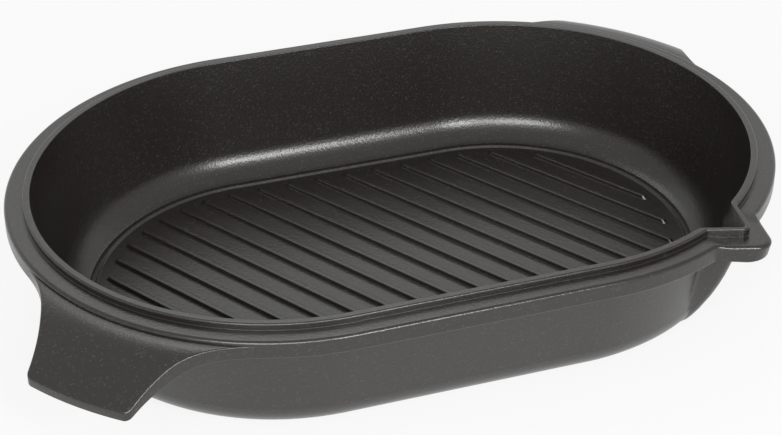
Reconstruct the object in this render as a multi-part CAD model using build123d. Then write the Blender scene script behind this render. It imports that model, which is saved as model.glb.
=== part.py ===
from build123d import *
import math
import os

# Oval cast grill pan with a V pouring spout and two turned-down plate handles.
# Millimetres. The origin is the centre of the flat resting face, X runs along
# the oval and Z is up. The pan is one casting: each node is a region of it,
# and neighbouring regions meet face to face.

# Oval plan: two half circles joined by straight runs
straight_half_length = 59.5
lip_inner_radius = 120.0

# Heights above the resting face
base_thickness = 5.0
flange_top_height = 65.5
flange_thickness = 7.2
lip_height = 4.4

# Wall and rim section
wall_draft_angle = 11.3
wall_thickness = 4.1
outer_corner_radius = 20.0
cove_radius = 12.0
foot_land_width = 0.7
arc_facets = 4
lip_width = 3.4
flange_width = 8.4
lip_edge_chamfer = 0.7
flange_edge_chamfer = 1.0

# Bead round the grill floor
bead_width = 3.6
bead_top_width = 1.6
bead_height = 1.5

# Grill ribs, which run toward the spout
drain_angle = 57.2
rib_count = 20
rib_width = 3.8
rib_height = 2.2
rib_side_angle = 17.0
rib_end_cut = 1.1
rib_end_gap = 5.6
rib_outer_gap = 8.3

# Pouring spout: reaches of its rounded tips beyond the rim and wall
spout_side_angle = 43.0
spout_flange_reach = 15.8
spout_flange_tip_radius = 5.0
spout_lip_reach = 15.0
spout_lip_tip_radius = 2.5
spout_wedge_reach = 14.2
spout_wedge_tip_radius = 2.0
spout_wedge_angle = 25.3
spout_wedge_fade_height = 12.0
spout_half_width = 21.0

# Handles, whose plates are turned about the centres of the oval's ends
handle_angle = 42.8
handle_reach = 34.4
handle_end_half_width = 26.0
handle_sweep_radius = 76.0
handle_root_half_angle = 24.0
handle_top_step = 1.75
handle_level_length = 2.2
handle_bend_radius = 25.0
handle_bend_facets = 3
handle_slope_angle = 31.8
handle_underside_angle = 28.5
handle_corner_radius = 4.0
handle_edge_chamfer = 0.6
upward_share = 0.5

overrun = 10.0

# Derived heights, radii and rates
rim_height = flange_top_height + lip_height
flange_bottom_height = flange_top_height - flange_thickness
lip_outer_radius = lip_inner_radius + lip_width
flange_radius = lip_outer_radius + flange_width
draft = math.tan(math.radians(wall_draft_angle))
half_corner = math.tan(math.radians((90 - wall_draft_angle) / 2))
vee_tangent = math.tan(math.radians(spout_side_angle))
vee_sine = math.sin(math.radians(spout_side_angle))


def inner_radius(height):
    """Radius of the drafted inner wall at a height."""
    return lip_inner_radius - (rim_height - height) * draft


def outer_radius(height):
    """Radius of the drafted outer wall at a height."""
    return inner_radius(height) + wall_thickness


def rounded_foot(foot_radius, foot_height, rounding):
    """Arc in flat facets from the level floor up to the drafted wall."""
    step = math.radians(90 - wall_draft_angle) / arc_facets
    points = []
    for number in range(arc_facets + 1):
        turn = number * step
        out = foot_radius + rounding * math.sin(turn)
        points.append((out, foot_height + rounding * (1 - math.cos(turn))))
    return points


cove_foot_radius = inner_radius(base_thickness) - cove_radius * half_corner
corner_foot_radius = outer_radius(0) - outer_corner_radius * half_corner
wall_foot_height = rounded_foot(corner_foot_radius, 0, outer_corner_radius)[-1][1]
base_radius = corner_foot_radius - foot_land_width
bead_foot_radius = cove_foot_radius - bead_width
rib_end_radius = bead_foot_radius - rib_end_gap
field_half_width = straight_half_length * math.sin(math.radians(drain_angle)) + rib_end_radius
rib_pitch = 2 * (field_half_width - rib_outer_gap) / (rib_count - 1)


# Helpers for rings that follow the oval

def corner_at(face, place):
    return face.vertices().sort_by_distance(place)[0]


def section(points, cut=()):
    """Section from (radius, height) points, with some corners cut."""
    face = make_face(Plane.XZ * Polyline(*points, close=True))
    for (radius, height), width in cut:
        face = chamfer(corner_at(face, Vector(radius, 0, height)), width)
    return face


def around_oval(face):
    """A section carried round the oval: two half turns and two straight runs."""
    front_section = Rot(Z=-90) * face
    half_turn = revolve(front_section, axis=Axis.Z, revolution_arc=180)
    front_run = extrude(front_section, straight_half_length, dir=(1, 0, 0), both=True)
    half = Pos(straight_half_length, 0, 0) * half_turn + front_run
    return half + Rot(Z=180) * half


def from_right_end(angle):
    """Frame at the centre of the oval's right end, with X outward at an angle in plan."""
    return Pos(straight_half_length, 0, 0) * Rot(Z=angle)


# Base, bead and wall

def make_base_plate():
    outline = SlotCenterToCenter(2 * straight_half_length, 2 * base_radius)
    return extrude(outline, base_thickness)


def make_floor_bead():
    slope = (bead_width - bead_top_width) / 2
    top = base_thickness + bead_height
    points = [
        (bead_foot_radius, base_thickness),
        (cove_foot_radius, base_thickness),
        (cove_foot_radius - slope, top),
        (bead_foot_radius + slope, top),
    ]
    return around_oval(section(points))


def make_wall_foot():
    """Lower stretch of the wall: rounded outside, with the cove inside."""
    outside = rounded_foot(corner_foot_radius, 0, outer_corner_radius)
    inside = rounded_foot(cove_foot_radius, base_thickness, cove_radius)
    top = [(inner_radius(wall_foot_height), wall_foot_height)]
    floor = [(base_radius, base_thickness), (base_radius, 0)]
    return around_oval(section(outside + top + inside[::-1] + floor))


def make_wall():
    points = []
    for height in (wall_foot_height, flange_bottom_height):
        points += [(inner_radius(height), height), (outer_radius(height), height)]
    inner_foot, outer_foot, inner_top, outer_top = points
    return around_oval(section([outer_foot, outer_top, inner_top, inner_foot]))


# Rim: flange and raised lip

def make_flange():
    top_edge = (flange_radius, flange_top_height)
    bottom_edge = (flange_radius, flange_bottom_height)
    points = [
        (inner_radius(flange_bottom_height), flange_bottom_height),
        bottom_edge,
        top_edge,
        (inner_radius(flange_top_height), flange_top_height),
    ]
    edges = [(top_edge, flange_edge_chamfer), (bottom_edge, flange_edge_chamfer)]
    return around_oval(section(points, cut=edges))


def make_lip():
    inner_edge = (lip_inner_radius, rim_height)
    outer_edge = (lip_outer_radius, rim_height)
    points = [
        (inner_radius(flange_top_height), flange_top_height),
        (lip_outer_radius, flange_top_height),
        outer_edge,
        inner_edge,
    ]
    edges = [(inner_edge, lip_edge_chamfer), (outer_edge, lip_edge_chamfer)]
    return around_oval(section(points, cut=edges))


# Pouring spout, modelled in a frame whose X axis is the way it pours

def vee(tip, height, tip_radius):
    """Plan of the spout at a height: a V whose rounded point is at the tip."""
    sharp_tip = tip + tip_radius * (1 / vee_sine - 1)
    half_width = (sharp_tip - base_radius) * vee_tangent
    corners = [(base_radius, -half_width), (sharp_tip, 0), (base_radius, half_width)]
    face = make_face(Polyline(*corners, close=True))
    return Pos(0, 0, height) * fillet(corner_at(face, Vector(sharp_tip, 0, 0)), tip_radius)


def wedge_tip(height):
    """Ridge of the wedge that carries the V down the outside of the wall."""
    top_tip = outer_radius(flange_bottom_height) + spout_wedge_reach
    rate = math.tan(math.radians(spout_wedge_angle))
    return top_tip - (flange_bottom_height - height) * rate


def slanted_vee(low, high, tip_radius):
    """V between two (tip, height) places, whose ridge leans from one to the other."""
    (low_tip, low_height), (high_tip, high_height) = low, high
    lean = Vector(high_tip - low_tip, 0, high_height - low_height)
    return extrude(vee(low_tip, low_height, tip_radius), lean.length, dir=lean)


def make_spout_wedge():
    """Wedge under the spout, which fades into the rounded foot of the wall."""
    foot_arc = rounded_foot(corner_foot_radius, 0, outer_corner_radius)
    foot_tip, foot_height = foot_arc[arc_facets // 2]
    foot = (foot_tip - spout_wedge_tip_radius, foot_height)
    fade = (wedge_tip(spout_wedge_fade_height), spout_wedge_fade_height)
    top = (wedge_tip(flange_bottom_height), flange_bottom_height)
    lower = slanted_vee(foot, fade, spout_wedge_tip_radius)
    return lower + slanted_vee(fade, top, spout_wedge_tip_radius)


def make_spout_channel():
    """Hollow of the spout, one wall inside its outer faces."""
    wall_step = wall_thickness / vee_sine
    low_height = spout_wedge_fade_height
    foot = (wedge_tip(low_height) - wall_step, low_height)
    neck = (wedge_tip(flange_bottom_height) - wall_step, flange_bottom_height)
    mouth_tip = lip_outer_radius + spout_lip_reach - lip_width / vee_sine
    mouth = (mouth_tip, rim_height)
    above = (mouth_tip, rim_height + overrun)
    tip_radius = spout_lip_tip_radius / 2
    throat = slanted_vee(foot, neck, tip_radius)
    return throat + slanted_vee(neck, mouth, tip_radius) + slanted_vee(mouth, above, tip_radius)


def make_spout_block():
    """Space whose stretch of wall and rim belongs to the spout."""
    length = flange_radius + spout_flange_reach + overrun
    height = 2 * (rim_height + overrun)
    block = Pos(length / 2, 0, 0) * Box(length, 2 * spout_half_width, height)
    return block - Cylinder(base_radius, height)


def rim_disc(radius, reach, tip_radius, bottom, thickness):
    """Disc with the V standing out of it, from which the rim near the spout is cut."""
    plan = Pos(0, 0, bottom) * Circle(radius) + vee(radius + reach, bottom, tip_radius)
    return extrude(plan, thickness)


def turned(points):
    """Solid of revolution about the end's centre, with its seam away from the spout."""
    return revolve(Rot(Z=180) * section(points), axis=Axis.Z)


def make_wall_end():
    """The wall's outside at the oval's right end, filled in to the middle."""
    corner = rounded_foot(corner_foot_radius, 0, outer_corner_radius)
    top = (outer_radius(flange_bottom_height), flange_bottom_height)
    return turned([(0, 0)] + corner + [top, (0, flange_bottom_height)])


def make_bowl_end():
    """Space inside the wall at the oval's right end."""
    above = rim_height + overrun
    cove = rounded_foot(cove_foot_radius, base_thickness, cove_radius)
    return turned([(0, base_thickness)] + cove + [(inner_radius(above), above), (0, above)])


def make_spout_flange():
    disc = rim_disc(flange_radius, spout_flange_reach, spout_flange_tip_radius,
                    flange_bottom_height, flange_thickness)
    bottom, top = disc.faces().filter_by(Axis.Z).sort_by(Axis.Z)
    return chamfer(bottom.edges() + top.edges(), flange_edge_chamfer)


def make_spout_lip(hollow):
    disc = rim_disc(lip_outer_radius, spout_lip_reach, spout_lip_tip_radius,
                    flange_top_height, lip_height)
    lip = disc - hollow
    top = lip.faces().filter_by(Axis.Z).sort_by(Axis.Z)[-1]
    return chamfer(top.edges(), lip_edge_chamfer)


def make_pour_spout(block):
    """The spout in its own frame: wall with its wedge, flange and lip, with the channel cut."""
    hollow = make_bowl_end() + make_spout_channel()
    solid = make_wall_end() + make_spout_wedge() + make_spout_flange()
    solid = (solid & block) - hollow
    return solid + (make_spout_lip(hollow) & block)


# Handles

def plate_line(height, bend_radius, slope_angle):
    """Top or underside of a handle in section: level, bent down, then straight to its end."""
    bend_start = flange_radius + handle_level_length
    points = [(flange_radius, height)]
    for number in range(handle_bend_facets + 1):
        turn = math.radians(slope_angle) * number / handle_bend_facets
        out = bend_start + bend_radius * math.sin(turn)
        points.append((out, height - bend_radius * (1 - math.cos(turn))))
    bend_end, bend_low = points[-1]
    end_radius = flange_radius + handle_reach
    drop = (end_radius - bend_end) * math.tan(math.radians(slope_angle))
    return points + [(end_radius, bend_low - drop)]


def make_handle_section():
    top_height = flange_top_height - handle_top_step
    plate_thickness = top_height - flange_bottom_height
    top = plate_line(top_height, handle_bend_radius, handle_slope_angle)
    under_radius = handle_bend_radius - plate_thickness
    under = plate_line(flange_bottom_height, under_radius, handle_underside_angle)
    return section(top + under[::-1])


def sweep_angle():
    """Angle in plan of the arcs that sweep from the flange to the end's corners."""
    centre = flange_radius + handle_sweep_radius
    end = flange_radius + handle_reach
    between = (centre**2 + end**2 - handle_sweep_radius**2) / (2 * centre * end)
    return math.degrees(math.asin(handle_end_half_width / end) + math.acos(between))


def edges_of(faces):
    return {edge for face in faces for edge in face.edges()}


def rounded_plate(plate):
    """The plate with its two corners rounded and its upper outer edge cut."""
    corners = plate.edges().filter_by(Axis.Z).sort_by(Axis.X)[-2:]
    plate = fillet(corners, handle_corner_radius)
    root_limit = flange_radius + handle_level_length
    upper, sides = [], []
    for face in plate.faces():
        if face.normal_at().Z > upward_share:
            upper.append(face)
        elif math.hypot(face.center().X, face.center().Y) > root_limit:
            sides.append(face)
    sides = [face for face in sides if face.normal_at().Z > -upward_share]
    return chamfer(ShapeList(edges_of(upper) & edges_of(sides)), handle_edge_chamfer)


def make_handle():
    """Plate turned about the end's centre, cut in plan by two arcs that leave the flange."""
    half_angle = handle_root_half_angle
    face = Rot(Z=-half_angle) * make_handle_section()
    plate = revolve(face, axis=Axis.Z, revolution_arc=2 * half_angle)
    height = 2 * (rim_height + overrun)
    cutter = Pos(flange_radius + handle_sweep_radius, 0, 0) * Cylinder(handle_sweep_radius, height)
    for side in (-1, 1):
        plate -= Rot(Z=side * sweep_angle()) * cutter
    return rounded_plate(plate)


# Grill ribs

def reach_along(start, way):
    """Distance from a point along a direction to the oval on which the ribs end."""
    to_side = (rib_end_radius - start.Y) / way.Y
    side_x = start.X + to_side * way.X
    if abs(side_x) <= straight_half_length:
        return to_side
    centre = Vector(math.copysign(straight_half_length, side_x), 0, 0)
    to_centre = centre - start
    along = to_centre.dot(way)
    across = to_centre.dot(to_centre) - along**2
    return along + math.sqrt(rib_end_radius**2 - across)


def make_rib(offset):
    """One rib at an offset from the middle of the floor, with cut ends and drafted sides."""
    way = Vector(1, 0, 0).rotate(Axis.Z, 180 - drain_angle)
    middle = Vector(0, 1, 0).rotate(Axis.Z, -drain_angle) * offset
    back = reach_along(middle, way)
    front = reach_along(Vector(-middle.X, -middle.Y, 0), way)
    centre = middle + way * ((back - front) / 2)
    bar = Rectangle(back + front, rib_width)
    outline = chamfer(bar.vertices(), rib_end_cut)
    place = Pos(centre.X, centre.Y, base_thickness) * Rot(Z=-drain_angle)
    return place * extrude(outline, rib_height, taper=rib_side_angle)


def write(name, shape):
    export_step(shape, f"parts/{name}.step")


def main():
    os.makedirs("parts", exist_ok=True)
    spout_block = make_spout_block()
    spout = make_pour_spout(spout_block)
    block = from_right_end(-drain_angle) * spout_block
    write("base_plate", make_base_plate())
    write("floor_bead", make_floor_bead())
    write("wall_foot", make_wall_foot() - block)
    write("bowl_wall", make_wall() - block)
    write("rim_flange", make_flange() - block)
    write("raised_lip", make_lip() - block)
    write("pour_spout", from_right_end(-drain_angle) * spout)
    handle = from_right_end(handle_angle) * make_handle()
    write("handle_back_right", handle)
    write("handle_front_left", Rot(Z=180) * handle)
    for number in range(rib_count):
        offset = (number - (rib_count - 1) / 2) * rib_pitch
        write(f"grill_rib_{number + 1:02d}", make_rib(offset))


main()
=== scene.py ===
import bpy
import math
import numpy as np
from mathutils import Matrix, Vector


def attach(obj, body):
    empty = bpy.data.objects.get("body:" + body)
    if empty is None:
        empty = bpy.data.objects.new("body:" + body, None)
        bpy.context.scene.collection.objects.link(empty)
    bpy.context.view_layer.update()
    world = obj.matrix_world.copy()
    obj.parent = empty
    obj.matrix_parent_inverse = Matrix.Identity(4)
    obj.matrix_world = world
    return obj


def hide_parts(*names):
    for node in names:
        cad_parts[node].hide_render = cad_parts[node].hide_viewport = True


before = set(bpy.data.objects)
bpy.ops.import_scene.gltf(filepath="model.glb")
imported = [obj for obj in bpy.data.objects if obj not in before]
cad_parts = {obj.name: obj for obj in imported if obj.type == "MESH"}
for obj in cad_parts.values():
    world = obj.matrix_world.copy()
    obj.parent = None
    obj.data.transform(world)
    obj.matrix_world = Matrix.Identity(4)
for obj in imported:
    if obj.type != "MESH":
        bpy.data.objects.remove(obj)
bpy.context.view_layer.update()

# Cast oval grill pan in a plain pale studio. The pan's sizes are in millimetres of the part's own
# frame, and MM turns them into the scene's metres. Heights are above the resting face, and radii of
# the oval are from the centre of a round end. A reach is how far something stands out of that end, a
# tip is the distance of the point of the spout's V from its centre, and a tip radius rounds it.

MM = 0.001

# Oval, rim and wall
STRAIGHT_HALF = 59.5
LIP_INNER = 120.0
LIP_OUTER = 123.6
FLANGE_RADIUS = 132.5
FLOOR_HEIGHT = 6.2
FLANGE_UNDER = 58.0
FLANGE_TOP = 66.7
RIM_TOP = 70.1
NECK_DROP = 4.0
WALL_HEIGHTS = (25.0, 32.0, 39.0, 46.0, 52.0)
WALL_LEAN = math.radians(11.3)
WALL_THICKNESS = 4.1
CAP_RADIUS = 60.0

# Roundings of the casting
OUTER_CORNER = 18.6
COVE = 18.0
UNDER_FLANGE_FILLET = 1.6
FLANGE_LOWER_EDGE = 1.0
FLANGE_UPPER_EDGE = 1.8
LIP_FOOT_FILLET = 0.25
LIP_EDGE = 1.0
LIP_INNER_EDGE = 0.5

# Bead round the grill floor
BEAD_OUTER = 97.4
BEAD_WIDTH = 3.6
BEAD_TOP_WIDTH = 1.6
BEAD_HEIGHT = 1.1
BEAD_FILLET = 0.4
BEAD_GROOVE = 0.6

# Pouring spout
DRAIN_ANGLE = math.radians(57.2)
SPOUT_SIDE = math.radians(40)
SPOUT_SPAN = math.radians(14)
SPOUT_BLEND = 1.2
FLANGE_REACH = 16.3
FLANGE_TIP_RADIUS = 7.5
FLANGE_UNDER_TIP_RADIUS = 11.0
FLANGE_DROOP = 0.9
FLANGE_DROOP_RUN = 4.8
MOUTH_CORNER = 136.3
MOUTH_TIP_RADIUS = 2.5
LIP_SPOUT_WIDTH = 2.0
LIP_TIP_RADIUS = 4.0
WEDGE_SIDE = math.radians(33)
WEDGE_REACH = 10.9
WEDGE_BOW = 137.0
WEDGE_UPRIGHT_HEIGHT = 85.5
WEDGE_TURN_DEPTH = 1.92
WEDGE_TIP_RADIUS = 4.0
CHANNEL_FOOT_HEIGHT = 10.0
CHANNEL_FULL_HEIGHT = 26.0
CHANNEL_TIP_RADIUS = 2.5

# Handles
HANDLE_ANGLE = math.radians(41.9)
LEFT_HANDLE_ANGLE = math.radians(42.5)
HANDLE_REACH = 35.3
HANDLE_HALF_WIDTH = 27.2
HANDLE_SWEEP = 68.0
HANDLE_STEP = 2.05
HANDLE_LEVEL = 2.2
HANDLE_BEND = 25.0
HANDLE_SLOPE = math.radians(32.6)
HANDLE_UNDER_SLOPE = math.radians(26.6)
HANDLE_CORNER = 4.0
HANDLE_EDGE = 0.7
HANDLE_ROOT_INSET = 1.5
HANDLE_ROOT_GAP = 0.02

# Grill ribs
RIB_COUNT = 20
RIB_PITCH = 13.7
RIB_WIDTH = 3.8
RIB_HEIGHT = 2.0
RIB_SIDE = math.radians(17)
RIB_END_RADIUS = 88.6
RIB_EDGE = 0.5
RIB_FOOT = 0.5
RIB_SKIRT = 1.0
RIB_SINK = 0.2
RIB_RAMP = 2.0
RIB_LEAD = 0.8
RIB_CREST_SHARE = 0.25

# Fineness of the meshes. A support point beside each rounding keeps the flats flat in the shading.
SUPPORT_STEP = 0.15
EDGE_ARC_STEPS = 8
COVE_STEPS = 12
SPOUT_STEPS = 140
HALF_ROUND_STEPS = 120
STRAIGHT_STEPS = 23
HANDLE_COLUMNS = 41
HANDLE_SIDE_STEPS = 48
HANDLE_CORNER_STEPS = 12
HANDLE_EDGE_STEPS = 6
RIB_ARC_STEPS = 5
RIB_END_STEPS = 12

# Coating. Densities are per metre, the depth is in metres, and colours are linear.
COATING_TONE = (0.0135, 0.0110, 0.0094, 1)
COATING_ROUGHNESS = 0.28
COATING_GLOSS = 0.8
FLECK_TONE = (0.042, 0.039, 0.036, 1)
FLECK_DENSITY = 1500
FLECK_START = 0.90
GRAIN_DENSITY = 750
GRAIN_DETAIL = 3
GRAIN_STRENGTH = 0.5
GRAIN_DEPTH = 0.0002

# Camera fitted to the photograph: angles in radians, its place and sensor in millimetres, and the
# focal length, size and optical centre in the photograph's pixels
CAMERA_TURN = -0.31
CAMERA_RISE = 0.547
CAMERA_ROLL = -0.008
CAMERA_DISTANCE = 944.16
CAMERA_TARGET = Vector((-11.496, -0.448, 65.5))
FOCAL_PIXELS = 1915.982
PHOTO_WIDTH, PHOTO_HEIGHT = 782, 435
PRINCIPAL_X, PRINCIPAL_Y = 373.679, 165.917
SENSOR_WIDTH = 36.0

# Studio, in metres and degrees
WHITE = (1, 1, 1, 1)
FLOOR_SIZE = 40
FLOOR_TONE = (0.8, 0.8, 0.8, 1)
FLOOR_GLOW_SHARE = 0.85
WORLD_LEVEL = 0.55
BACKDROP_STEPS = 72
BACKDROP_TURN = 72
BACKDROP_HALF_SPAN = 55
BACKDROP_FADE = 10
BACKDROP_RADIUS = 2.4
BACKDROP_HEIGHT = 2.4
BACKDROP_LOW_HEIGHT = 0.5

# Soft lamps: name, direction round and up in degrees, width and height in metres, power in watts
LAMP_DISTANCE = 1.5
LAMPS = (
    ("front_left_light", 244, 33, 0.90, 0.28, 11.0),
    ("front_light", 280, 33, 0.30, 0.28, 7.2),
    ("back_light", 78, 52, 0.70, 0.40, 1.8),
)

# Derived sizes. SPOUT_CUT is the share of its rounding by which a tip of the V draws back, and
# NO_TIP lies inside the oval, so that a row that has it shows no V.
WALL_DRAFT = math.tan(WALL_LEAN)
NECK_HEIGHT = FLANGE_TOP - NECK_DROP
FLANGE_MIDDLE = (LIP_OUTER + FLANGE_RADIUS) / 2
MIDDLE_REACH = (WEDGE_REACH + FLANGE_REACH) / 2
COVE_HEIGHT = FLOOR_HEIGHT + COVE
SPOUT_CUT = 1 / math.sin(SPOUT_SIDE) - 1
MOUTH_TIP = MOUTH_CORNER - MOUTH_TIP_RADIUS * SPOUT_CUT
LIP_TIP = MOUTH_CORNER + LIP_SPOUT_WIDTH / math.sin(SPOUT_SIDE) - LIP_TIP_RADIUS * SPOUT_CUT
NO_TIP = CAP_RADIUS / 2
HANDLE_END = FLANGE_RADIUS + HANDLE_REACH


# Faces of the wall

def inner_radius(height):
    return LIP_INNER - (RIM_TOP - height) * WALL_DRAFT


def outer_radius(height):
    return inner_radius(height) + WALL_THICKNESS


COVE_CENTRE = inner_radius(FLOOR_HEIGHT) - COVE * math.tan((math.pi / 2 - WALL_LEAN) / 2)


def bowl_radius(height):
    """Radius of the bowl's inner face: the drafted wall, or the cove below it."""
    below = np.clip(COVE_HEIGHT - height, 0, COVE)
    in_cove = below > COVE * math.sin(WALL_LEAN)
    return np.where(in_cove, COVE_CENTRE + np.sqrt(COVE**2 - below**2), inner_radius(height))


def wedge_bow(height):
    """Distance out from the centre of the bow to the wedge's ridge, at a height."""
    return np.sqrt(WEDGE_BOW**2 - (WEDGE_UPRIGHT_HEIGHT - height)**2)


def wedge_tip(height):
    """Tip of the wedge, which bows in as it runs down and then turns under the pan."""
    centre = outer_radius(FLANGE_UNDER) + WEDGE_REACH - wedge_bow(FLANGE_UNDER)
    across = WEDGE_BOW - OUTER_CORNER
    drop = WEDGE_UPRIGHT_HEIGHT - OUTER_CORNER
    corner_centre = centre + math.sqrt(across**2 - drop**2)
    touch_height = OUTER_CORNER * (1 - drop / across)
    below = np.maximum(OUTER_CORNER - height, 0)
    turned = corner_centre + np.sqrt(OUTER_CORNER**2 - below**2)
    return np.where(height < touch_height, turned, centre + wedge_bow(height))


def channel_tip(height):
    """Tip of the channel: it comes out of the cove, follows the wedge and opens at the mouth."""
    wall_step = WALL_THICKNESS / math.sin(WEDGE_SIDE)
    mouth = np.interp(height, [FLANGE_UNDER, RIM_TOP],
                      [wedge_tip(FLANGE_UNDER) - wall_step, MOUTH_TIP])
    full = np.where(height < FLANGE_UNDER, wedge_tip(height) - wall_step, mouth)
    share = np.interp(height, [CHANNEL_FOOT_HEIGHT, CHANNEL_FULL_HEIGHT], [0, 1])
    return full * share + (bowl_radius(height) - SPOUT_BLEND) * (1 - share)


# Section of the casting. Each row is (radius, height, tip, rounding of the tip).

def unit(vector):
    return vector / np.linalg.norm(vector)


def rounded(corners, arc_steps=EDGE_ARC_STEPS):
    """Points of a section through (radius, height, rounding) corners, with arcs for the roundings."""
    places = [np.array(corner[:2], float) for corner in corners]
    points = [places[0]]
    for before, place, after, corner in zip(places, places[1:], places[2:], corners[1:]):
        rounding = corner[2]
        if rounding == 0:
            points.append(place)
            continue
        back = unit(before - place)
        ahead = unit(after - place)
        inward = unit(back + ahead)
        half = math.acos(back @ ahead) / 2
        start = place + back * rounding / math.tan(half)
        end = place + ahead * rounding / math.tan(half)
        centre = place + inward * rounding / math.sin(half)
        points.append(start + back * SUPPORT_STEP)
        for turn in np.linspace(half - math.pi / 2, math.pi / 2 - half, arc_steps + 1):
            away = unit(end - start) * math.sin(turn) - inward * math.cos(turn)
            points.append(centre + away * rounding)
        points.append(end + ahead * SUPPORT_STEP)
    points.append(places[-1])
    return np.array(points)


def wall_rows():
    """From the middle of the base, up the outer wall, to the underside of the flange."""
    points = rounded([
        (CAP_RADIUS, 0, 0),
        (outer_radius(0), 0, OUTER_CORNER),
        *((outer_radius(height), height, 0) for height in WALL_HEIGHTS),
        (outer_radius(FLANGE_UNDER), FLANGE_UNDER, UNDER_FLANGE_FILLET),
        (FLANGE_MIDDLE, FLANGE_UNDER, 0),
    ])
    turn_height = FLANGE_UNDER - WEDGE_TURN_DEPTH
    turn_radius = outer_radius(turn_height)
    reaches = np.interp(points[:, 0], [turn_radius, FLANGE_RADIUS],
                        [wedge_tip(turn_height) - turn_radius, FLANGE_REACH])
    tips = np.where(points[:, 1] > turn_height, points[:, 0] + reaches, wedge_tip(points[:, 1]))
    tips[0] = NO_TIP
    roundings = np.interp(points[:, 0], [turn_radius, FLANGE_MIDDLE],
                          [WEDGE_TIP_RADIUS, FLANGE_TIP_RADIUS])
    return np.column_stack([points, tips, roundings])


def flange_rows():
    """Round the edge of the flange, from its underside to its top."""
    points = rounded([
        (FLANGE_MIDDLE, FLANGE_UNDER, 0),
        (FLANGE_RADIUS, FLANGE_UNDER, FLANGE_LOWER_EDGE),
        (FLANGE_RADIUS, FLANGE_TOP, FLANGE_UPPER_EDGE),
        (FLANGE_MIDDLE, FLANGE_TOP, 0),
    ])
    roundings = np.interp(points[:, 1], [FLANGE_UNDER, FLANGE_TOP],
                          [FLANGE_UNDER_TIP_RADIUS, FLANGE_TIP_RADIUS])
    reaches = np.interp(points[:, 0], [FLANGE_MIDDLE, FLANGE_RADIUS], [MIDDLE_REACH, FLANGE_REACH])
    tips = points[:, 0] + reaches - (roundings - FLANGE_TIP_RADIUS) * SPOUT_CUT
    return np.column_stack([points, tips, roundings])


def lip_rows():
    """From the top of the flange, over the raised lip, to the neck below its inner edge."""
    neck_radius = inner_radius(NECK_HEIGHT)
    points = rounded([
        (FLANGE_MIDDLE, FLANGE_TOP, 0),
        (LIP_OUTER, FLANGE_TOP, LIP_FOOT_FILLET),
        (LIP_OUTER, RIM_TOP, LIP_EDGE),
        (LIP_INNER, RIM_TOP, LIP_INNER_EDGE),
        (neck_radius, NECK_HEIGHT, 0),
    ])
    places = [neck_radius, LIP_INNER, LIP_OUTER, FLANGE_MIDDLE]
    tips = np.interp(points[:, 0], places,
                     [channel_tip(NECK_HEIGHT), MOUTH_TIP, LIP_TIP, FLANGE_MIDDLE + MIDDLE_REACH])
    roundings = np.interp(points[:, 0], places, [CHANNEL_TIP_RADIUS, MOUTH_TIP_RADIUS,
                                                 LIP_TIP_RADIUS, FLANGE_TIP_RADIUS])
    return np.column_stack([points, tips, roundings])


def bowl_rows():
    """From the neck, down the inner wall and the cove and over the bead, to the middle of the floor."""
    wall = [(inner_radius(height), height) for height in (NECK_HEIGHT, *WALL_HEIGHTS[::-1])]
    lowest = math.acos((BEAD_OUTER - COVE_CENTRE) / COVE)
    turns = np.linspace(WALL_LEAN, lowest, COVE_STEPS + 1)
    cove = np.column_stack([COVE_CENTRE + COVE * np.cos(turns), COVE_HEIGHT - COVE * np.sin(turns)])
    bead_foot = BEAD_OUTER - BEAD_WIDTH
    bead_top = FLOOR_HEIGHT + BEAD_HEIGHT
    slope = (BEAD_WIDTH - BEAD_TOP_WIDTH) / 2
    bead = rounded([
        (*cove[-2], 0),
        (*cove[-1], BEAD_GROOVE),
        (BEAD_OUTER - slope, bead_top, BEAD_FILLET),
        (bead_foot + slope, bead_top, BEAD_FILLET),
        (bead_foot, FLOOR_HEIGHT, BEAD_FILLET),
        (CAP_RADIUS, FLOOR_HEIGHT, 0),
    ])[1:]
    points = np.vstack([wall, cove[:-1], bead])
    tips = channel_tip(points[:, 1])
    tips[-len(bead):] = NO_TIP
    roundings = np.full(len(points), CHANNEL_TIP_RADIUS)
    return np.column_stack([points, tips, roundings])


def section_rows():
    """Rows from the middle of the base, over the rim, to the middle of the floor. A last column
    holds half the angle of the V."""
    rows = np.vstack([wall_rows(), flange_rows()[1:], lip_rows()[1:], bowl_rows()[1:]])
    sides = np.interp(rows[:, 1], [FLANGE_UNDER, FLANGE_UNDER + FLANGE_LOWER_EDGE],
                      [WEDGE_SIDE, SPOUT_SIDE])
    return np.column_stack([rows, sides])


# Plan of the casting

def oval_steps():
    """Places round the oval: centre x, and direction in plan. They are denser near the spout,
    and each has its mirror image across the long axis."""
    fine = np.linspace(-SPOUT_SPAN, SPOUT_SPAN, SPOUT_STEPS + 1)
    coarse = np.linspace(-math.pi / 2, math.pi / 2, HALF_ROUND_STEPS + 1)
    near = np.abs(np.abs(coarse) - DRAIN_ANGLE) < SPOUT_SPAN
    angles = np.sort(np.concatenate([coarse[~near], DRAIN_ANGLE + fine, -DRAIN_ANGLE - fine]))
    run = np.linspace(-STRAIGHT_HALF, STRAIGHT_HALF, STRAIGHT_STEPS + 1)[1:-1]
    steps = [(STRAIGHT_HALF, angle) for angle in angles]
    steps += [(x, math.pi / 2) for x in run[::-1]]
    steps += [(-STRAIGHT_HALF, angle + math.pi) for angle in angles]
    steps += [(x, -math.pi / 2) for x in run]
    return np.array(steps)


def vee_radius(angle, tip, rounding, side):
    """Distance from the end's centre to a V with a rounded point, at an angle from its axis."""
    sharp = tip + rounding * (1 / np.sin(side) - 1)
    centre = sharp - rounding / np.sin(side)
    straight = sharp * np.sin(side) / np.sin(side + np.abs(angle))
    rest = np.maximum(rounding**2 - (centre * np.sin(angle))**2, 0)
    arc = centre * np.cos(angle) + np.sqrt(rest)
    last = np.arctan2(rounding * np.cos(side), centre + rounding * np.sin(side))
    return np.where(np.abs(angle) < last, arc, straight)


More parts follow.
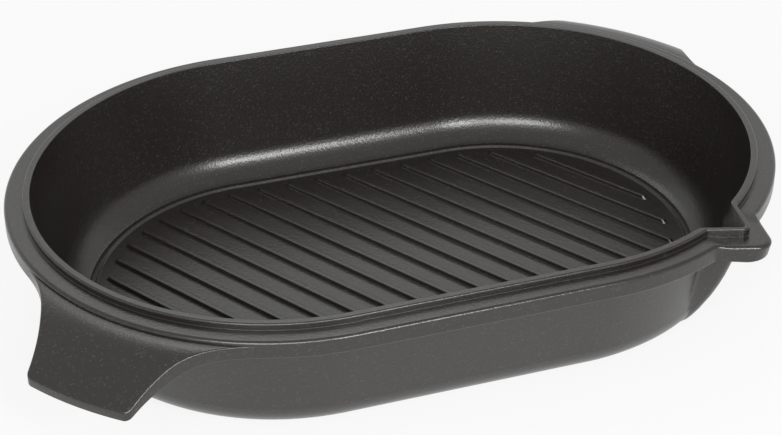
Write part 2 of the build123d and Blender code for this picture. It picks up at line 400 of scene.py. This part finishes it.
def with_spout(steps, rows):
    """Radius at every step and row, with the V of the spout standing out of the round end."""
    angle = (steps[:, 1] + DRAIN_ANGLE)[:, None]
    on_spout = (np.abs(angle) < SPOUT_SPAN) & (steps[:, :1] >= STRAIGHT_HALF)
    angle = np.where(on_spout, angle, SPOUT_SPAN)
    radius = np.broadcast_to(rows[:, 0], (len(steps), len(rows)))
    vee = vee_radius(angle, rows[:, 2], rows[:, 3], rows[:, 4])
    blend = np.maximum(SPOUT_BLEND - np.abs(radius - vee), 0)**2 / (4 * SPOUT_BLEND)
    return np.where(on_spout, np.maximum(radius, vee) + blend, radius)


# Meshes

def mesh_object(name, points, faces):
    mesh = bpy.data.meshes.new(name)
    mesh.from_pydata([tuple(point) for point in np.array(points) * MM], [], faces)
    mesh.update()
    mesh.shade_smooth()
    piece = bpy.data.objects.new(name, mesh)
    bpy.context.scene.collection.objects.link(piece)
    return piece


def ring_numbers(count, rings, first=0):
    """Vertex numbers of rings that follow each other."""
    starts = [first + ring * count for ring in range(rings)]
    return [list(range(start, start + count)) for start in starts]


def band_faces(first, second, closed=True):
    """Faces between two rings of vertex numbers."""
    count = len(first)
    last = count if closed else count - 1
    return [(first[i], first[(i + 1) % count], second[(i + 1) % count], second[i])
            for i in range(last)]


def cap_faces(ring, middle, flip):
    """Faces that join each vertex of a ring to its mirror image, on both sides of its middle one."""
    count = len(ring)
    faces = []
    for step in range(count // 2):
        quad = [ring[(middle + step) % count], ring[(middle + step + 1) % count],
                ring[(middle - step - 1) % count], ring[(middle - step) % count]]
        face = list(dict.fromkeys(quad))
        if len(face) > 2:
            faces.append(tuple(face if flip else reversed(face)))
    return faces


def make_body():
    """The casting without its handles and ribs, as rings round the oval. Its flange droops a
    little out on the spout."""
    steps = oval_steps()
    rows = section_rows()
    radius = with_spout(steps, rows)
    x = steps[:, :1] + radius * np.cos(steps[:, 1:])
    y = radius * np.sin(steps[:, 1:])
    below_lip = (rows[:, 1] >= FLANGE_UNDER) & (rows[:, 1] < FLANGE_TOP + LIP_FOOT_FILLET)
    on_flange = below_lip & (rows[:, 0] >= LIP_OUTER)
    out_on_spout = np.clip((radius - rows[:, 0]) / FLANGE_DROOP_RUN, 0, 1)
    z = rows[:, 1] - FLANGE_DROOP * out_on_spout * on_flange
    points = np.stack([x, y, z], axis=2).transpose(1, 0, 2).reshape(-1, 3)
    rings = ring_numbers(len(steps), len(rows))
    faces = []
    for lower, upper in zip(rings, rings[1:]):
        faces += band_faces(lower, upper)
    middle = int(np.argmin(np.abs(steps[:, 1]) + (steps[:, 0] < 0)))
    faces += cap_faces(rings[0], middle, False)
    faces += cap_faces(rings[-1], middle, True)
    return mesh_object("pan_body", points, faces)


# Handles

def plate_height(radius, top, bend, slope):
    """Height of a handle's top or underside: level, bent down, then straight."""
    start = FLANGE_RADIUS + HANDLE_LEVEL
    run = np.clip(radius - start, 0, bend * math.sin(slope))
    beyond = np.maximum(radius - start - bend * math.sin(slope), 0)
    return top - (bend - np.sqrt(bend**2 - run**2)) - beyond * math.tan(slope)


def top_height(radius):
    return plate_height(radius, FLANGE_TOP - HANDLE_STEP, HANDLE_BEND, HANDLE_SLOPE)


def under_height(radius):
    thickness = FLANGE_TOP - HANDLE_STEP - FLANGE_UNDER
    return plate_height(radius, FLANGE_UNDER, HANDLE_BEND - thickness, HANDLE_UNDER_SLOPE)


def angle_between(first, second, opposite):
    """Angle between two sides of a triangle, from the lengths of all three."""
    return math.acos((first**2 + second**2 - opposite**2) / (2 * first * second))


def polar(radius, angle):
    return radius * np.array([math.cos(angle), math.sin(angle)])


def short_arc(centre, radius, start, end, count):
    """Points of an arc, the short way round from one direction to another."""
    span = (end - start + math.pi) % (2 * math.pi) - math.pi
    turns = start + span * np.arange(count + 1) / count
    return centre + radius * np.column_stack([np.cos(turns), np.sin(turns)])


def handle_side(inset):
    """One side of a handle in plan, as radii and angles: out of the flange, along the hollow arc
    that leaves it at a tangent, and round the end's corner."""
    far = FLANGE_RADIUS + HANDLE_SWEEP
    sweep = HANDLE_SWEEP + inset
    corner = HANDLE_CORNER - inset
    corner_reach = HANDLE_END - inset - corner
    turn = math.asin(HANDLE_HALF_WIDTH / HANDLE_END) + angle_between(far, HANDLE_END, HANDLE_SWEEP)
    corner_angle = turn - angle_between(far, corner_reach, sweep + corner)
    sweep_centre = polar(far, turn)
    corner_centre = polar(corner_reach, corner_angle)
    touch = corner_centre - sweep_centre
    towards_corner = math.atan2(touch[1], touch[0])
    root = turn + math.pi + angle_between(far, sweep, FLANGE_RADIUS + HANDLE_ROOT_GAP)
    side = short_arc(sweep_centre, sweep, root, towards_corner, HANDLE_SIDE_STEPS)
    end = short_arc(corner_centre, corner, towards_corner + math.pi, corner_angle, HANDLE_CORNER_STEPS)
    places = np.vstack([side, end[1:]])
    radius = np.hypot(places[:, 0], places[:, 1])
    angle = np.arctan2(places[:, 1], places[:, 0])
    start_radius = FLANGE_RADIUS - HANDLE_ROOT_INSET
    return np.concatenate([[start_radius], radius]), np.concatenate([[angle[0]], angle])


def handle_layer(inset, surface, drop):
    """Grid of (radius, angle, height) points across a handle, at an inset from its outline."""
    side_radius, side_angle = handle_side(inset)
    radius = np.repeat(side_radius, HANDLE_COLUMNS)
    angle = np.outer(side_angle, np.linspace(-1, 1, HANDLE_COLUMNS)).ravel()
    return np.column_stack([radius, angle, surface(radius) - drop])


def handle_outline(rows):
    """Numbers of a layer's outer points: out along one side, across the end and back."""
    last = HANDLE_COLUMNS - 1
    outline = [row * HANDLE_COLUMNS for row in range(rows)]
    outline += [(rows - 1) * HANDLE_COLUMNS + column for column in range(1, last)]
    outline += [row * HANDLE_COLUMNS + last for row in range(rows - 1, -1, -1)]
    return outline


def rounded_edge(outline):
    """Rings of points over a handle's edge, from beside its top to beside its underside."""
    rings = []
    over = range(1, HANDLE_EDGE_STEPS + 1)
    for side, surface, steps in ((1, top_height, over), (-1, under_height, reversed(over))):
        for step in steps:
            lean = step / HANDLE_EDGE_STEPS * math.pi / 2
            inset = HANDLE_EDGE * (1 - math.sin(lean))
            drop = HANDLE_EDGE * (1 - math.cos(lean))
            rings.append(handle_layer(inset, surface, side * drop)[outline])
    return rings


def make_handle(name, turn, end_x):
    """Bent plate with rounded edges, turned about the centre of one of the oval's ends."""
    top = handle_layer(HANDLE_EDGE, top_height, 0)
    under = handle_layer(HANDLE_EDGE, under_height, 0)
    count = len(top)
    rows = ring_numbers(HANDLE_COLUMNS, count // HANDLE_COLUMNS)
    faces = []
    for inner, outer in zip(rows, rows[1:]):
        flats = band_faces(inner, outer, closed=False)
        faces += [face[::-1] for face in flats]
        faces += [tuple(count + number for number in face) for face in flats]
    outline = handle_outline(len(rows))
    edge = rounded_edge(outline)
    rings = [outline]
    rings += ring_numbers(len(outline), len(edge), first=2 * count)
    rings.append([count + number for number in outline])
    for first, second in zip(rings, rings[1:]):
        faces += [face[::-1] for face in band_faces(first, second, closed=False)]
    radius, angle, height = np.vstack([top, under, *edge]).T
    x = end_x + radius * np.cos(turn + angle)
    y = radius * np.sin(turn + angle)
    return mesh_object(name, np.column_stack([x, y, height]), faces)


# Grill ribs

def reach_along(start, way):
    """Distance from a point along a direction to the oval on which the ribs end."""
    to_side = (math.copysign(RIB_END_RADIUS, way[1]) - start[1]) / way[1]
    side_x = start[0] + to_side * way[0]
    if abs(side_x) <= STRAIGHT_HALF:
        return to_side
    to_centre = np.array([math.copysign(STRAIGHT_HALF, side_x), 0]) - start
    along = to_centre @ way
    across = to_centre @ to_centre - along**2
    return along + math.sqrt(RIB_END_RADIUS**2 - across)


def rib_section():
    """Section of a rib as (distance from its middle line, height above the floor)."""
    half = RIB_WIDTH / 2
    top_half = half - RIB_HEIGHT * math.tan(RIB_SIDE)
    return rounded([
        (top_half * RIB_CREST_SHARE, RIB_HEIGHT, 0),
        (top_half, RIB_HEIGHT, RIB_EDGE),
        (half, 0, RIB_FOOT),
        (half + RIB_SKIRT, -RIB_SINK, 0),
    ], RIB_ARC_STEPS)


def rib_line(number):
    """Middle, direction and half length of a rib's full-height run. The ribs point at the spout."""
    offset = (number - (RIB_COUNT - 1) / 2) * RIB_PITCH
    way = np.array([-math.cos(DRAIN_ANGLE), math.sin(DRAIN_ANGLE)])
    middle = offset * np.array([math.sin(DRAIN_ANGLE), math.cos(DRAIN_ANGLE)])
    back = reach_along(middle, way)
    front = reach_along(middle, -way)
    centre = middle + way * ((back - front) / 2 + RIB_LEAD)
    return centre, way, (back + front - RIB_WIDTH) / 2 - RIB_RAMP


def make_rib(number, section):
    """Rib with round ends that ramp down to the floor."""
    centre, way, half_line = rib_line(number)
    crosswise = np.array([-way[1], way[0]])
    arc = np.linspace(-math.pi / 2, math.pi / 2, RIB_END_STEPS + 1)
    ends = np.repeat([1, -1], len(arc))
    arcs = np.tile(arc, 2)
    layers = []
    for distance, height in section:
        ramp = RIB_RAMP * (1 - height / RIB_HEIGHT)
        along = ends * (half_line + (distance + ramp) * np.cos(arcs))
        across = ends * distance * np.sin(arcs)
        plan = centre + np.outer(along, way) + np.outer(across, crosswise)
        layers.append(np.column_stack([plan, np.full(len(arcs), FLOOR_HEIGHT + height)]))
    rings = ring_numbers(len(arcs), len(layers))
    faces = cap_faces(rings[0], RIB_END_STEPS // 2, True)
    for first, second in zip(rings, rings[1:]):
        faces += [face[::-1] for face in band_faces(first, second)]
    return mesh_object(f"rib_{number + 1:02d}", np.vstack(layers), faces)


# Materials

def new_material(name):
    material = bpy.data.materials.new(name)
    material.use_nodes = True
    tree = material.node_tree
    return material, tree.nodes, tree.links, tree.nodes["Principled BSDF"]


def add_flecks(nodes, links, place, shader):
    """Dark tone with fine pale flecks in some of the cells of a Voronoi pattern."""
    cells = nodes.new("ShaderNodeTexVoronoi")
    cells.inputs["Scale"].default_value = FLECK_DENSITY
    links.new(place, cells.inputs["Vector"])
    split = nodes.new("ShaderNodeSeparateColor")
    links.new(cells.outputs["Color"], split.inputs["Color"])
    chosen = nodes.new("ShaderNodeValToRGB")
    chosen.color_ramp.elements[0].position = FLECK_START
    links.new(split.outputs["Red"], chosen.inputs["Fac"])
    tone = nodes.new("ShaderNodeMix")
    tone.data_type = "RGBA"
    tone.inputs["A"].default_value = COATING_TONE
    tone.inputs["B"].default_value = FLECK_TONE
    links.new(chosen.outputs["Color"], tone.inputs["Factor"])
    links.new(tone.outputs["Result"], shader.inputs["Base Color"])


def add_grain(nodes, links, place, shader):
    """Fine orange peel."""
    grain = nodes.new("ShaderNodeTexNoise")
    grain.inputs["Scale"].default_value = GRAIN_DENSITY
    grain.inputs["Detail"].default_value = GRAIN_DETAIL
    links.new(place, grain.inputs["Vector"])
    bump = nodes.new("ShaderNodeBump")
    bump.inputs["Strength"].default_value = GRAIN_STRENGTH
    bump.inputs["Distance"].default_value = GRAIN_DEPTH
    links.new(grain.outputs["Fac"], bump.inputs["Height"])
    links.new(bump.outputs["Normal"], shader.inputs["Normal"])


def make_coating():
    """Dark satin non-stick coating with fine pale flecks and an orange-peel surface."""
    material, nodes, links, shader = new_material("speckled_coating")
    place = nodes.new("ShaderNodeTexCoord").outputs["Object"]
    add_flecks(nodes, links, place, shader)
    add_grain(nodes, links, place, shader)
    shader.inputs["Roughness"].default_value = COATING_ROUGHNESS
    shader.inputs["Specular IOR Level"].default_value = COATING_GLOSS
    return material


def make_white():
    """White that keeps the soft shadow and shows white to the camera and in reflections."""
    material, nodes, links, shader = new_material("studio_floor")
    shader.inputs["Base Color"].default_value = FLOOR_TONE
    shader.inputs["Roughness"].default_value = 1
    shader.inputs["Specular IOR Level"].default_value = 0
    glow = nodes.new("ShaderNodeEmission")
    glow.inputs["Color"].default_value = WHITE
    glow.inputs["Strength"].default_value = 1
    shown = nodes.new("ShaderNodeMixShader")
    shown.inputs["Fac"].default_value = FLOOR_GLOW_SHARE
    links.new(shader.outputs["BSDF"], shown.inputs[1])
    links.new(glow.outputs["Emission"], shown.inputs[2])
    path = nodes.new("ShaderNodeLightPath")
    seen = nodes.new("ShaderNodeMath")
    seen.operation = "MAXIMUM"
    links.new(path.outputs["Is Camera Ray"], seen.inputs[0])
    links.new(path.outputs["Is Glossy Ray"], seen.inputs[1])
    switch = nodes.new("ShaderNodeMixShader")
    links.new(seen.outputs["Value"], switch.inputs["Fac"])
    links.new(shader.outputs["BSDF"], switch.inputs[1])
    links.new(shown.outputs["Shader"], switch.inputs[2])
    links.new(switch.outputs["Shader"], nodes["Material Output"].inputs["Surface"])
    return material


# Studio

def make_floor(material):
    bpy.ops.mesh.primitive_plane_add(size=FLOOR_SIZE, location=(0, 0, 0))
    floor = bpy.context.object
    floor.name = "floor"
    floor.data.materials.append(material)


def make_backdrop(material):
    """White wall round the studio, tall behind the pan and low elsewhere."""
    turns = np.linspace(0, 360, BACKDROP_STEPS, endpoint=False)
    away = np.abs((turns - BACKDROP_TURN + 180) % 360 - 180)
    fade = [BACKDROP_HALF_SPAN - BACKDROP_FADE, BACKDROP_HALF_SPAN + BACKDROP_FADE]
    tops = np.interp(away, fade, [BACKDROP_HEIGHT, BACKDROP_LOW_HEIGHT])
    plan = [polar(BACKDROP_RADIUS, math.radians(turn)) for turn in turns]
    points = [(x, y, 0) for x, y in plan]
    points += [(x, y, top) for (x, y), top in zip(plan, tops)]
    foot_ring, top_ring = ring_numbers(BACKDROP_STEPS, 2)
    faces = [face[::-1] for face in band_faces(foot_ring, top_ring)]
    backdrop = mesh_object("backdrop", np.array(points) / MM, faces)
    backdrop.data.materials.append(material)


def make_world():
    world = bpy.data.worlds.new("studio")
    world.use_nodes = True
    bpy.context.scene.world = world
    lighting = world.node_tree.nodes["Background"]
    lighting.inputs["Color"].default_value = WHITE
    lighting.inputs["Strength"].default_value = WORLD_LEVEL


def make_lamp(name, turn, rise, width, height, power):
    """Soft lamp aimed at the pan from a direction given in degrees."""
    lamp = bpy.data.lights.new(name, "AREA")
    lamp.shape = "RECTANGLE"
    lamp.size = width
    lamp.size_y = height
    lamp.energy = power
    thing = bpy.data.objects.new(name, lamp)
    bpy.context.scene.collection.objects.link(thing)
    turn, rise = math.radians(turn), math.radians(rise)
    direction = Vector((*polar(math.cos(rise), turn), math.sin(rise)))
    thing.location = direction * LAMP_DISTANCE
    thing.rotation_mode = "QUATERNION"
    thing.rotation_quaternion = direction.to_track_quat("Z", "Y")


def make_camera():
    """Camera at the photograph's place, whose lens is shifted as the photograph is cropped."""
    back = Vector((math.sin(CAMERA_TURN) * math.cos(CAMERA_RISE),
                   -math.cos(CAMERA_TURN) * math.cos(CAMERA_RISE), math.sin(CAMERA_RISE)))
    level = Vector((math.cos(CAMERA_TURN), math.sin(CAMERA_TURN), 0))
    upright = back.cross(level)
    right = level * math.cos(CAMERA_ROLL) + upright * math.sin(CAMERA_ROLL)
    up = upright * math.cos(CAMERA_ROLL) - level * math.sin(CAMERA_ROLL)
    place = (CAMERA_TARGET + back * CAMERA_DISTANCE) * MM
    lens = bpy.data.cameras.new("camera")
    lens.sensor_width = SENSOR_WIDTH
    lens.lens = SENSOR_WIDTH * FOCAL_PIXELS / PHOTO_WIDTH
    lens.shift_x = (PHOTO_WIDTH / 2 - PRINCIPAL_X) / PHOTO_WIDTH
    lens.shift_y = (PRINCIPAL_Y - PHOTO_HEIGHT / 2) / PHOTO_WIDTH
    camera = bpy.data.objects.new("camera", lens)
    bpy.context.scene.collection.objects.link(camera)
    rotation = Matrix((right, up, back)).transposed()
    camera.matrix_world = Matrix.Translation(place) @ rotation.to_4x4()
    bpy.context.scene.camera = camera


def keep(piece, material, *nodes):
    """Gives a piece its material, puts it under the root body and hides the CAD nodes it stands for."""
    piece.data.materials.append(material)
    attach(piece, "root")
    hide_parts(*nodes)


# Pan
coating = make_coating()
keep(make_body(), coating, "base_plate", "floor_bead", "wall_foot", "bowl_wall", "rim_flange",
     "raised_lip", "pour_spout")
keep(make_handle("handle_plate_right", HANDLE_ANGLE, STRAIGHT_HALF), coating, "handle_back_right")
keep(make_handle("handle_plate_left", LEFT_HANDLE_ANGLE + math.pi, -STRAIGHT_HALF), coating,
     "handle_front_left")
section = rib_section()
for number in range(RIB_COUNT):
    keep(make_rib(number, section), coating, f"grill_rib_{number + 1:02d}")

# Surroundings
white = make_white()
make_floor(white)
make_backdrop(white)
make_world()
for lamp in LAMPS:
    make_lamp(*lamp)
make_camera()
bpy.context.scene.view_settings.view_transform = "Standard"

# Bring the scene up to date
bpy.context.view_layer.update()
